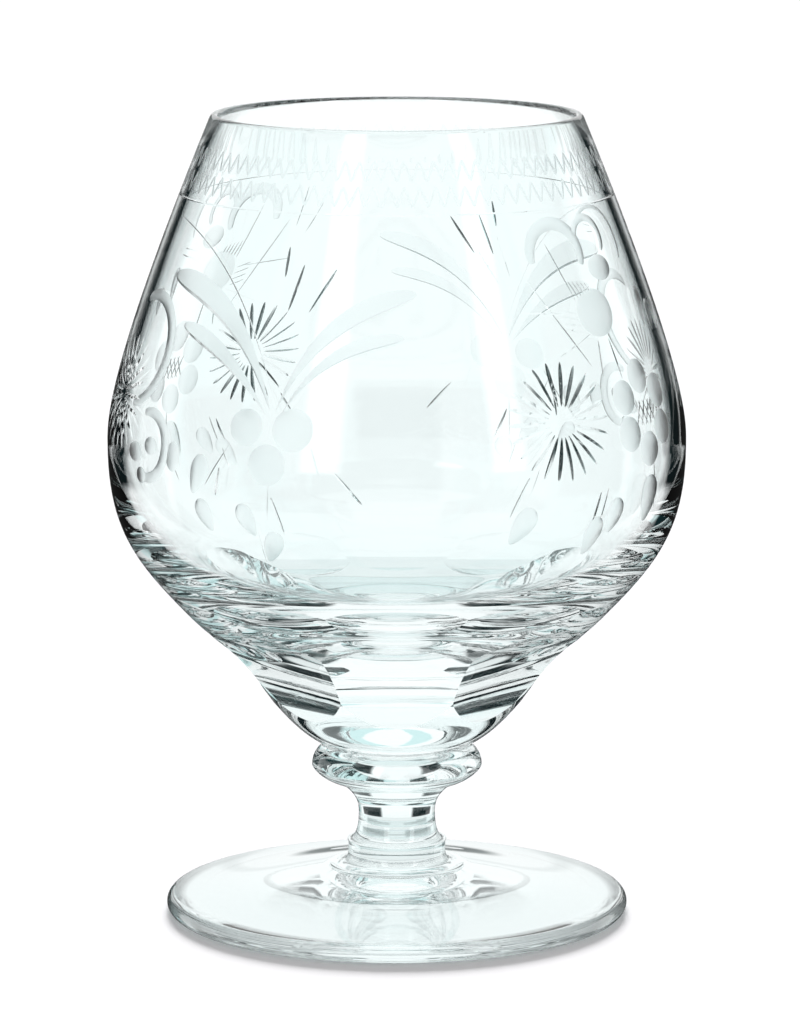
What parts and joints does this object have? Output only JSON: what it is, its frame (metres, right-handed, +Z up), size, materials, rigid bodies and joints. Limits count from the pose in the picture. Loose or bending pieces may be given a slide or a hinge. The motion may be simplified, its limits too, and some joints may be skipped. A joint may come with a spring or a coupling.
{
  "type": "brandy snifter",
  "caption": "Stemmed drinking glass with a wide cut-crystal bowl narrowing to the rim, a thick panel-cut base, a short waisted stem and a round foot.",
  "frame": {"origin": "centre of the ring that the foot stands on, at the bottom", "axes": "+Z up along the axis of the glass, -Y towards the viewer and square to one panel cut"},
  "size_m": [0.093, 0.093, 0.13],
  "materials": {
    "foot_crystal": "fire-polished clear crystal",
    "stem_crystal": "fire-polished clear crystal",
    "bowl_crystal": "polished clear crystal with satin wheel-cut ornament"
  },
  "bodies": {
    "root": {"foot": "foot_crystal", "collar": "stem_crystal", "stem": "stem_crystal", "merese": "stem_crystal", "bowl": "bowl_crystal"}
  },
  "joints": []
}
